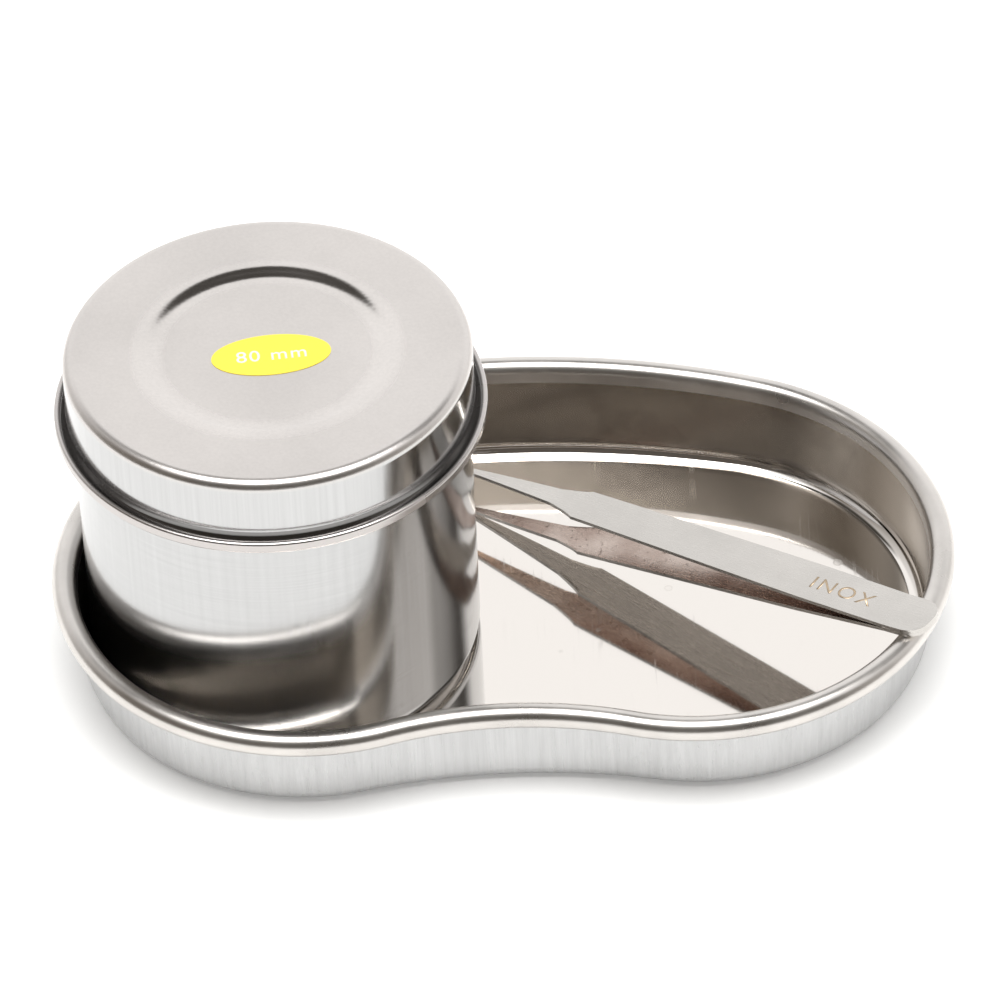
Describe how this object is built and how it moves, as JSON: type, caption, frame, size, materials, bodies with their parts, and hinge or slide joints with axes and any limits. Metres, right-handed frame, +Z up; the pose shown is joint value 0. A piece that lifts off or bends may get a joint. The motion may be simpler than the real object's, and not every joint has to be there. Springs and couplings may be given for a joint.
{
  "type": "instrument tray",
  "caption": "Kidney-shaped steel instrument tray with a rolled rim, holding a lidded round jar and spring tweezers resting on the rim.",
  "frame": {"origin": "middle of the tray's footprint, on the surface that it stands on", "axes": "+X along the tray's length, towards the lobe without the jar; +Y towards the outward-curved back; +Z up"},
  "size_m": [0.184, 0.1166, 0.0759],
  "materials": {
    "tray_steel": "polished inside, fine vertical brushing outside",
    "jar_steel": "polished",
    "lid_steel": "satin top, polished edge and skirt",
    "label_vinyl": "flat yellow vinyl with pale size text",
    "tweezer_steel": "brushed lengthwise, bare and stained on the inner faces"
  },
  "bodies": {
    "tray": {"kidney_tray": "tray_steel"},
    "jar": {"jar_body": "jar_steel"},
    "lid": {"jar_lid": "lid_steel", "lid_label": "label_vinyl"},
    "tweezers": {"tweezer_lower_arm": "tweezer_steel"},
    "upper_arm": {"tweezer_upper_arm": "tweezer_steel"}
  },
  "joints": [
    {"name": "jar_lift", "type": "slide", "parent": "tray", "child": "jar", "axis": [0, 0, 1], "range_m": [0, 0.06]},
    {"name": "lid_lift", "type": "slide", "parent": "jar", "child": "lid", "axis": [0, 0, 1], "range_m": [0, 0.04]},
    {"name": "tweezers_lift", "type": "slide", "parent": "tray", "child": "tweezers", "axis": [0, 0, 1], "range_m": [0, 0.06]},
    {"name": "tweezers_squeeze", "type": "hinge", "parent": "tweezers", "child": "upper_arm", "pos_m": [0.07863, -0.02711, 0.02228], "axis": [-0.5723, -0.8201, 0], "range_deg": [0, 5.1], "stiffness_Nm_per_rad": 0.7}
  ]
}
